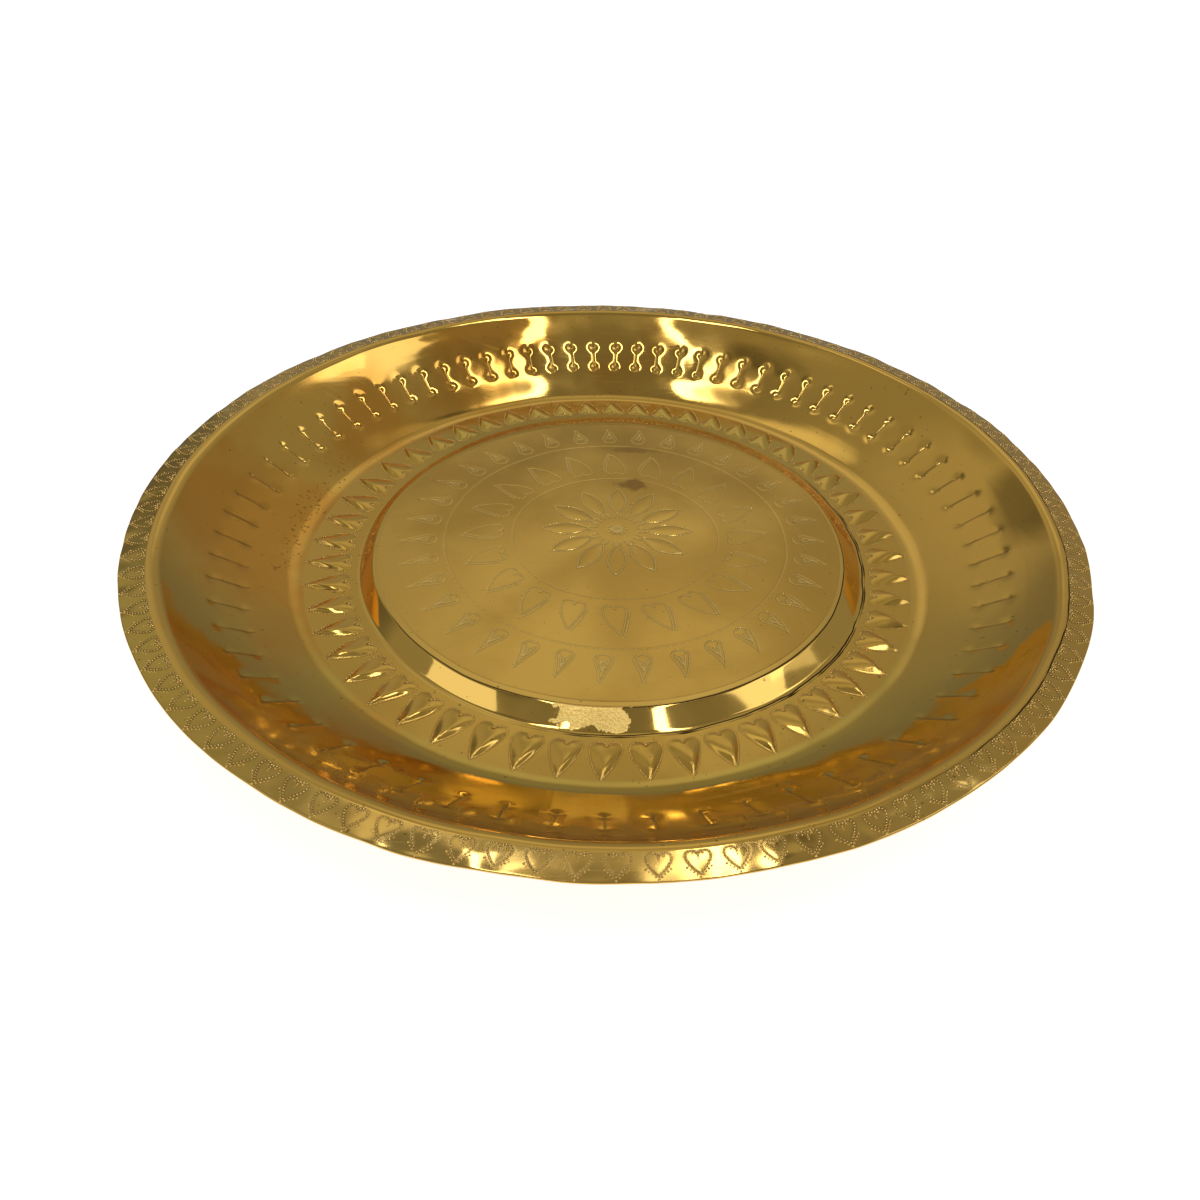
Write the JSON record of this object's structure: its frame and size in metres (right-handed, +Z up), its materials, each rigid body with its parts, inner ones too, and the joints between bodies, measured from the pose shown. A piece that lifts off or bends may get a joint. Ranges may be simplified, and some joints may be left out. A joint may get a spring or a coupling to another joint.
{
  "type": "thali plate",
  "caption": "Round beaten brass thali with a raised engraved centre, a floor band of pressed hearts, a curved fluted wall and a drooping rim.",
  "frame": {"origin": "on the table, under the centre of the plate", "axes": "+Z up along the plate's axis; X and Y lie in the table"},
  "size_m": [0.4499, 0.45, 0.0393],
  "materials": {
    "engraved_brass": "satin polished brass with engraved lines and light stains",
    "polished_brass": "mirror polished brass",
    "satin_brass": "satin polished brass with pressed ornament",
    "spun_brass": "polished brass with fine marks that run round the plate",
    "rim_brass": "satin brass with punched ornament"
  },
  "bodies": {
    "root": {"centre_disc": "engraved_brass", "centre_step": "polished_brass", "well_floor": "satin_brass", "side_wall": "spun_brass", "rim_lip": "polished_brass", "rim_flange": "rim_brass"}
  },
  "joints": []
}
